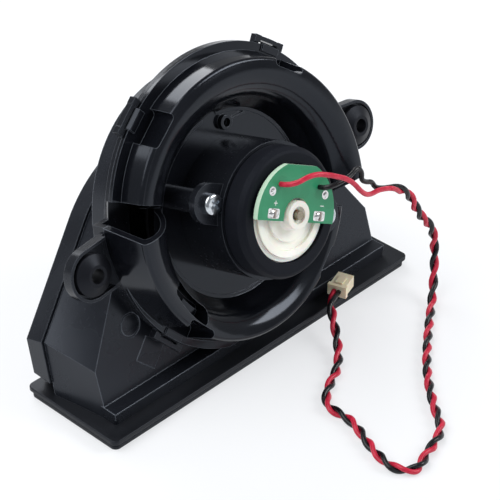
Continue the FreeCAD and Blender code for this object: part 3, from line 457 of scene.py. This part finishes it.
SLOT_FINISH = {
    "duct_plastic": "duct_black", "back_plastic": "back_black", "base_plastic": "base_black",
    "cover_plastic": "cover_black", "holder_plastic": "holder_black",
    "impeller_plastic": "impeller_black", "seal_rubber": "seal_black",
    "sleeve_rubber": "sleeve_black", "grommet_rubber": "grommet_black",
    "can_steel": "can_plate", "cap_nylon": "cap_natural_nylon", "bush_bronze": "sintered_bronze",
    "shaft_steel": "ground_steel", "core_iron": "core_laminations", "winding_copper": "copper",
    "commutator_copper": "copper", "brush_carbon": "brush_carbon",
    "terminal_brass": "terminal_brass", "solder_tin": "solder", "magnet_ferrite": "ferrite",
    "board_laminate": "solder_mask_green", "screw_zinc": "zinc",
    "lead_red_plastic": "lead_red_insulation", "lead_black_plastic": "lead_black_insulation",
    "pair_plastic": "lead_red_insulation", "connector_nylon": "plug_natural_nylon",
    "contact_tin": "tin",
}


class Finishes:
    """The unit's materials by name."""

    def __init__(self) -> None:
        """Build every finish once."""
        self.made = {finish.name: finish.build() for finish in FINISHES}

    def dress_nodes(self) -> None:
        """Give every solid of the frame the finish of its material slot."""
        for part in frame["record"]["subparts"]:
            solid = frame["nodes"][part["node"]]
            material = self.made[SLOT_FINISH[part["material_slot"]]]
            solid.data.materials.clear()
            solid.data.materials.append(material)
            log.info("%s has finish %s", part["node"], material.name)


def linked_object(name: str, data: bpy.types.ID) -> bpy.types.Object:
    """Put new data into the scene.

    Args:
        name: the object's name.
        data: its mesh, curve, lamp or camera.

    Returns:
        The new object.
    """
    made = bpy.data.objects.new(name, data)
    bpy.context.scene.collection.objects.link(made)
    return made


def mesh_of(name: str, shape: bmesh.types.BMesh) -> bpy.types.Mesh:
    """Turn a bmesh into a mesh.

    Args:
        name: the mesh's name.
        shape: the bmesh, which is freed.

    Returns:
        The new mesh.
    """
    mesh = bpy.data.meshes.new(name)
    shape.to_mesh(mesh)
    shape.free()
    return mesh


def mesh_object(name: str, mesh: bpy.types.Mesh, material: bpy.types.Material,
                body: Body = Body.HOUSING) -> bpy.types.Object:
    """Place a finished mesh on a body.

    Args:
        name: the piece's name.
        mesh: its mesh, in place, in metres.
        material: its finish, where the mesh has none yet.
        body: the body that it rides on.

    Returns:
        The new object.
    """
    piece = linked_object(name, mesh)
    if not mesh.materials:
        mesh.materials.append(material)
    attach(piece, body.value)
    log.info("piece %s rides on %s", name, body.value)
    return piece


def spline_curve(name: str, points: list[Vector], radius: float) -> bpy.types.Object:
    """Run one smooth tube along a route.

    Args:
        name: the curve's name.
        points: the route's control points, in metres.
        radius: the tube's radius in metres, or 0 for the bare line.

    Returns:
        The new curve object.
    """
    data = bpy.data.curves.new(name, "CURVE")
    data.dimensions = "3D"
    data.resolution_u = CURVE_STEPS
    data.bevel_depth = radius
    data.bevel_resolution = CURVE_ROUND_STEPS
    data.use_fill_caps = True
    spline = data.splines.new("NURBS")
    spline.points.add(len(points) - 1)
    for spot, point in zip(spline.points, points):
        spot.co = (*point, 1.0)
    spline.order_u = 3
    spline.use_endpoint_u = True
    return linked_object(name, data)


def line_points(curve: bpy.types.Object) -> list[Vector]:
    """Read the line of a curve.

    Args:
        curve: a curve that has no bevel.

    Returns:
        The points along it, in metres.
    """
    mesh = bpy.data.meshes.new_from_object(curve)
    points = [vertex.co.copy() for vertex in mesh.vertices]
    bpy.data.meshes.remove(mesh)
    return points


@dataclass
class Leads:
    """The red and the black lead and the twisted pair that they become, in millimetres.

    A lead's route gives u, v and the rise over the board's face in the fan frame, and the
    pair's route gives the world's x, y and z.
    """

    wire_radius: float = 0.68
    spread: float = 0.70
    approach: float = 4.0
    pitch: float = 10.6
    ease: float = 7.0
    strand_steps: int = 1
    strand_round_steps: int = 3
    red: list[Three] = field(default_factory=lambda: [
        (-2.9, 9.7, 0.0), (-2.9, 9.7, 4.1), (2.8, 10.9, 6.3), (8.6, 8.0, 6.9),
        (14.6, 4.1, 6.6), (18.6, -1.6, 5.6), (22.2, -3.6, 4.4)])
    black: list[Three] = field(default_factory=lambda: [
        (9.5, 3.5, 0.0), (9.5, 3.5, 2.7), (13.0, 3.5, 3.5), (17.0, 3.7, 3.8),
        (20.0, 5.0, 3.9), (21.6, 3.0, 3.7), (21.0, 1.0, 3.4), (23.0, -0.6, 2.9),
        (25.6, -1.6, 2.4)])
    pair: list[Three] = field(default_factory=lambda: [
        (30.2, -29.2, 44.1), (38.0, -29.3, 41.0), (44.5, -29.2, 28.5), (51.0, -29.0, 21.5),
        (54.0, -28.0, 11.0), (48.0, -32.8, 1.36), (35.4, -41.6, 1.36), (22.0, -52.0, 1.36),
        (12.0, -62.7, 1.36), (6.9, -70.0, 1.36), (0.8, -72.4, 1.36), (-4.6, -73.6, 1.36),
        (-9.6, -76.2, 1.36), (-14.0, -71.4, 1.36), (-11.6, -62.0, 1.36), (-6.6, -51.4, 1.36),
        (-7.6, -42.8, 1.36), (-0.6, -38.0, 1.36), (6.5, -35.0, 1.36), (12.8, -29.4, 2.3),
        (17.4, -23.2, 5.6), (21.2, -18.53, 7.15), (25.6, -17.1, 7.15)])

    def pair_points(self) -> list[Vector]:
        """Return the pair's route in metres."""
        return [Vector(point) * MM for point in self.pair]

    def lead_points(self, route: list[Three], side: int) -> list[Vector]:
        """Bring one lead's route to where the pair starts.

        Args:
            route: the lead's points over the board.
            side: 1 for the strand that starts outwards along the motor axis, -1 for the other.

        Returns:
            The route in metres, which ends beside the other lead along the pair's way.
        """
        pair = self.pair_points()
        along = (pair[1] - pair[0]).normalized()
        end = pair[0] + STANCE.normal() * (side * self.spread * MM)
        end -= along * along.dot(end - pair[0])
        place = STANCE.matrix()
        spots = [place @ Vector((u, v, BOARD_FRONT + rise)) for u, v, rise in route]
        return spots + [end - along * self.approach * MM, end]

    def build_lead(self, name: str, route: list[Three], side: int, material: bpy.types.Material) -> None:
        """Make one lead from the board to the pair.

        Args:
            name: the solid that it stands for.
            route: its points over the board.
            side: its side of the pair, 1 or -1.
            material: its insulation.
        """
        points = self.lead_points(route, side)
        piece = spline_curve(name + "_wire", points, self.wire_radius * MM)
        piece.data.materials.append(material)
        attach(piece, Body.HOUSING.value)
        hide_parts(name)
        log.info("piece %s rides on %s", piece.name, Body.HOUSING.value)

    def carried_sides(self, forward: list[Vector]) -> list[Vector]:
        """Carry a side direction along the pair without a twist of its own.

        Args:
            forward: the pair's direction at each point.

        Returns:
            The side direction at each point, which starts along the motor axis.
        """
        across = STANCE.normal()
        across = (across - forward[0] * across.dot(forward[0])).normalized()
        sides = [across]
        for before, after in zip(forward, forward[1:]):
            across = before.rotation_difference(after) @ across
            sides.append((across - after * across.dot(after)).normalized())
        return sides

    def whole_twist(self, way: Vector, side: Vector, length: float) -> float:
        """Work out the whole twist, which leaves the strands level side by side in the plug.

        Args:
            way: the pair's direction at the plug.
            side: the side direction carried to there.
            length: the pair's length in metres.

        Returns:
            The twist in radians.
        """
        goal = Vector((0, 0, 1)).cross(way).normalized()
        rest = math.atan2(way.dot(side.cross(goal)), side.dot(goal))
        turns = round((length - self.ease * MM) / (self.pitch * MM))
        return rest + 2 * math.pi * turns

    def eased_share(self, distance: float, length: float) -> float:
        """Ease the twist in and out at the pair's ends.

        Args:
            distance: how far along the pair, in metres.
            length: the pair's length in metres.

        Returns:
            The share of the whole twist that is reached there.
        """
        ease = self.ease * MM
        rise = min(distance, ease) ** 2 / (2 * ease)
        middle = max(0.0, min(distance, length - ease) - ease)
        late = max(0.0, distance - (length - ease))
        fall = late - late ** 2 / (2 * ease)
        return (rise + middle + fall) / (length - ease)

    def strand_lines(self, path: list[Vector]) -> list[list[Vector]]:
        """Twist two strands round a path.

        Args:
            path: the points of the pair's line, in metres.

        Returns:
            The red strand's points and the black strand's.
        """
        forward = [(b - a).normalized() for a, b in zip(path, path[1:])]
        forward.append(forward[-1])
        sides = self.carried_sides(forward)
        run = [0.0]
        for a, b in zip(path, path[1:]):
            run.append(run[-1] + (b - a).length)
        total = self.whole_twist(forward[-1], sides[-1], run[-1])
        lines: list[list[Vector]] = [[], []]
        for spot, way, side, distance in zip(path, forward, sides, run):
            turn = Quaternion(way, total * self.eased_share(distance, run[-1]))
            arm = turn @ side * (self.wire_radius * MM)
            lines[0].append(spot + arm)
            lines[1].append(spot - arm)
        return lines

    def build_pair(self, red: bpy.types.Material, black: bpy.types.Material) -> None:
        """Make the twisted pair as two strands in one piece.

        Args:
            red: the first strand's insulation.
            black: the second strand's insulation.
        """
        guide = spline_curve("pair_guide", self.pair_points(), 0.0)
        path = line_points(guide)
        bpy.data.objects.remove(guide)
        mesh = bmesh.new()
        for index, line in enumerate(self.strand_lines(path)):
            strand = spline_curve("strand_guide", line, self.wire_radius * MM)
            strand.data.resolution_u = self.strand_steps
            strand.data.bevel_resolution = self.strand_round_steps
            tube = bpy.data.meshes.new_from_object(strand)
            tube.polygons.foreach_set("material_index", [index] * len(tube.polygons))
            mesh.from_mesh(tube)
            bpy.data.meshes.remove(tube)
            bpy.data.objects.remove(strand)
        bmesh.ops.remove_doubles(mesh, verts=mesh.verts, dist=MERGE_DISTANCE)
        bmesh.ops.recalc_face_normals(mesh, faces=mesh.faces)
        for face in mesh.faces:
            face.smooth = True
        data = mesh_of("twisted_pair", mesh)
        data.materials.append(red)
        data.materials.append(black)
        piece = mesh_object("twisted_pair", data, red)
        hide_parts("lead_pair")

    def build(self, finishes: Finishes) -> None:
        """Make both leads and the pair.

        Args:
            finishes: the unit's materials.
        """
        red = finishes.made["lead_red_insulation"]
        black = finishes.made["lead_black_insulation"]
        self.build_lead("lead_red", self.red, side=1, material=red)
        self.build_lead("lead_black", self.black, side=-1, material=black)
        self.build_pair(red, black)


@dataclass
class BoardFace:
    """What lies on the board's face, in millimetres: polarity signs, tinned pads and solder.

    A place gives across and up on the board, which is turned from the fan frame, in degrees.
    """

    turn: float = -26.5
    lift: float = 0.01
    print_thick: float = 0.03
    plus: Two = (-7.8, 2.6)
    minus: Two = (8.8, 2.6)
    arm: float = 0.62
    stroke: float = 0.2
    pad_thick: float = 0.05
    pad_place: float = 8.1
    pad_length: float = 2.5
    pad_width: float = 4.0
    pad_corner: float = 0.5
    corner_steps: int = 4
    spot_place: Two = (9.4, 5.5)
    spot_radius: float = 1.15
    spot_sides: int = 32
    solder_half: Three = (1.65, 1.15, 0.62)
    solder_sides: int = 40
    solder_rings: int = 20
    solder_cut: float = -0.01

    def placed(self, place: Two, thick: float) -> Matrix:
        """Return the matrix that lays a sheet of one thickness at a place of the board."""
        spot = Matrix.Translation((*place, BOARD_FRONT + self.lift + thick / 2))
        return STANCE.matrix() @ Matrix.Rotation(math.radians(self.turn), 4, "Z") @ spot

    def sheet(self, mesh: bmesh.types.BMesh, place: Two, size: Three, corner: float = 0.0) -> None:
        """Add one thin rectangle to a mesh.

        Args:
            mesh: the mesh that it joins.
            place: its middle on the board.
            size: its reach across, up and off the board.
            corner: the radius of its corners, or nothing.
        """
        made = bmesh.ops.create_cube(mesh, size=1.0)["verts"]
        bmesh.ops.transform(mesh, matrix=Matrix.Diagonal((*size, 1.0)), verts=made)
        if corner > 0:
            upright = {edge for vert in made for edge in vert.link_edges
                       if abs(edge.verts[0].co.z - edge.verts[1].co.z) > size[2] / 2}
            result = bmesh.ops.bevel(mesh, geom=list(upright), offset=corner,
                                     segments=self.corner_steps, affect="EDGES", profile=0.5,
                                     material=-1)
            made = list({vert for face in result["faces"] for vert in face.verts}
                        | {vert for vert in made if vert.is_valid})
        bmesh.ops.transform(mesh, matrix=self.placed(place, size[2]), verts=made)

    def disc(self, mesh: bmesh.types.BMesh, place: Two) -> None:
        """Add one round pad to a mesh.

        Args:
            mesh: the mesh that it joins.
            place: its middle on the board.
        """
        made = bmesh.ops.create_cone(mesh, cap_ends=True, segments=self.spot_sides,
                                     radius1=self.spot_radius, radius2=self.spot_radius,
                                     depth=self.pad_thick)
        bmesh.ops.transform(mesh, matrix=self.placed(place, self.pad_thick), verts=made["verts"])

    def dome(self, mesh: bmesh.types.BMesh, place: Two) -> None:
        """Add one mound of solder to a mesh, open underneath.

        Args:
            mesh: the mesh that it joins.
            place: its middle on the board.
        """
        made = bmesh.ops.create_uvsphere(mesh, u_segments=self.solder_sides,
                                         v_segments=self.solder_rings, radius=1.0)["verts"]
        under = [vert for vert in made if vert.co.z < self.solder_cut]
        bmesh.ops.delete(mesh, geom=under, context="VERTS")
        made = [vert for vert in made if vert.is_valid]
        shape = Matrix.Diagonal((*self.solder_half, 1.0))
        bmesh.ops.transform(mesh, matrix=shape, verts=made)
        bmesh.ops.transform(mesh, matrix=self.placed(place, 0.0), verts=made)

    def keep(self, name: str, mesh: bmesh.types.BMesh, finish: bpy.types.Material) -> bpy.types.Object:
        """Turn a mesh's faces outwards and return it as a piece of its finish."""
        bmesh.ops.recalc_face_normals(mesh, faces=mesh.faces)
        return mesh_object(name, mesh_of(name, mesh), finish)

    def build_signs(self, finishes: Finishes) -> None:
        """Print the plus and the minus.

        Args:
            finishes: the unit's materials.
        """
        mesh = bmesh.new()
        self.sheet(mesh, self.plus, (2 * self.arm, self.stroke, self.print_thick))
        self.sheet(mesh, self.plus, (self.stroke, 2 * self.arm, self.print_thick))
        self.sheet(mesh, self.minus, (2 * self.arm, self.stroke, self.print_thick))
        self.keep("polarity_print", mesh, finishes.made["board_print"])

    def build_pads(self, finishes: Finishes) -> None:
        """Lay the tinned pads under the terminals' solder and round the two solder spots.

        Args:
            finishes: the unit's materials.
        """
        mesh = bmesh.new()
        size = (self.pad_width, self.pad_length, self.pad_thick)
        across, up = self.spot_place
        for side in (-1, 1):
            self.sheet(mesh, (side * self.pad_place, 0.0), size, self.pad_corner)
            self.disc(mesh, (side * across, up))
        self.keep("tinned_pads", mesh, finishes.made["solder"])

    def build_solder(self, finishes: Finishes) -> None:
        """Mound the solder round both terminals, flatter and wider than a ball.

        Args:
            finishes: the unit's materials.
        """
        mesh = bmesh.new()
        for side in (-1, 1):
            self.dome(mesh, (side * self.pad_place, 0.0))
        rims = [edge for edge in mesh.edges if edge.is_boundary]
        bmesh.ops.holes_fill(mesh, edges=rims, sides=0)
        for face in mesh.faces:
            face.smooth = len(face.verts) <= 4  # the flat undersides have more corners
        piece = self.keep("terminal_solder", mesh, finishes.made["solder"])
        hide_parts("terminal_solder_left", "terminal_solder_right")

    def build(self, finishes: Finishes) -> None:
        """Print the signs, lay the pads and mound the solder.

        Args:
            finishes: the unit's materials.
        """
        self.build_signs(finishes)
        self.build_pads(finishes)
        self.build_solder(finishes)


@dataclass(frozen=True)
class Lamp:
    """A soft square lamp: its place and size in metres and its power in watts."""

    name: str
    place: Three
    size: float
    power: float


LAMPS = (
    Lamp("key", (-0.45, 0.25, 0.80), 0.95, 8.5),
    Lamp("fill", (0.62, -0.62, 0.62), 0.5, 6.0),
    Lamp("back", (0.35, 0.90, 0.75), 0.6, 6.5),
)


@dataclass
class Studio:
    """The floor, the soft light and the camera.

    Angles are in degrees, the camera's place is in millimetres, its focal length and width
    are in pixels, and the rest is in metres.
    """

    azimuth: float = -46.123
    elevation: float = 35.216
    place: Three = (-300.79, -298.27, 324.50)
    focal: float = 1965.28
    width: float = 500.0
    sensor: float = 36.0
    near: float = 0.01
    aim: Three = (0.0, 0.0, 0.04)
    floor_size: float = 12.0
    floor_paint: Three = (0.86, 0.87, 0.89)
    floor_glow: Three = (0.95, 0.965, 0.985)
    glow_share: float = 0.62
    sky: Three = (0.95, 0.97, 1.0)
    sky_strength: float = 0.34

    def build_floor(self) -> None:
        """Lay the pale floor, which shows near white to the camera and keeps the shadow."""
        mesh = bmesh.new()
        bmesh.ops.create_grid(mesh, x_segments=1, y_segments=1, size=self.floor_size / 2)
        floor = linked_object("floor", mesh_of("floor", mesh))
        tree = Tree(bpy.data.materials.new("pale_floor"))
        paint = tree.node("ShaderNodeBsdfDiffuse", {}, {"Color": rgba(self.floor_paint)})
        glow = tree.node("ShaderNodeEmission", {},
                         {"Color": rgba(self.floor_glow), "Strength": 1.0})
        rays = [tree.node("ShaderNodeLightPath", output=kind)
                for kind in ("Is Camera Ray", "Is Glossy Ray", "Is Transmission Ray")]
        seen = (rays[0] + rays[1] + rays[2]) * self.glow_share
        shader = tree.node("ShaderNodeMixShader", {}, {0: seen, 1: paint, 2: glow})
        tree.add("ShaderNodeOutputMaterial", {}, {"Surface": shader})
        floor.data.materials.append(tree.owner)

    def build_world(self) -> None:
        """Set the even light from all round."""
        world = bpy.data.worlds.new("studio")
        bpy.context.scene.world = world
        tree = Tree(world)
        back = tree.node("ShaderNodeBackground", {},
                         {"Color": rgba(self.sky), "Strength": self.sky_strength})
        tree.add("ShaderNodeOutputWorld", {}, {"Surface": back})

    def add_lamp(self, lamp: Lamp) -> None:
        """Add one lamp that looks at the fan.

        Args:
            lamp: its place, size and power.
        """
        data = bpy.data.lights.new(lamp.name, "AREA")
        data.size = lamp.size
        data.energy = lamp.power
        light = linked_object(lamp.name, data)
        way = Vector(self.aim) - Vector(lamp.place)
        turn = way.to_track_quat("-Z", "Y").to_matrix().to_4x4()
        light.matrix_world = Matrix.Translation(lamp.place) @ turn

    def build_camera(self) -> None:
        """Set the camera as the photograph was taken."""
        turn, rise = math.radians(self.azimuth), math.radians(self.elevation)
        back = Vector((math.sin(turn) * math.cos(rise), -math.cos(turn) * math.cos(rise),
                       math.sin(rise)))
        right = Vector((math.cos(turn), math.sin(turn), 0.0))
        up = back.cross(right)
        data = bpy.data.cameras.new("camera")
        data.sensor_width = self.sensor
        data.lens = self.sensor * self.focal / self.width
        data.clip_start = self.near
        camera = linked_object("camera", data)
        place = Vector(self.place) * MM
        camera.matrix_world = Matrix((
            (right.x, up.x, back.x, place.x), (right.y, up.y, back.y, place.y),
            (right.z, up.z, back.z, place.z), (0, 0, 0, 1)))
        bpy.context.scene.camera = camera

    def build(self) -> None:
        """Set the whole studio."""
        bpy.context.scene.view_settings.view_transform = "Standard"
        self.build_floor()
        self.build_world()
        for lamp in LAMPS:
            self.add_lamp(lamp)
        self.build_camera()


def main() -> None:
    """Build the unit's pieces in order."""
    logging.basicConfig(level=logging.INFO, format="%(message)s")
    Studio().build()
    finishes = Finishes()
    finishes.dress_nodes()
    Leads().build(finishes)
    BoardFace().build(finishes)


if __name__ == "__main__":
    main()
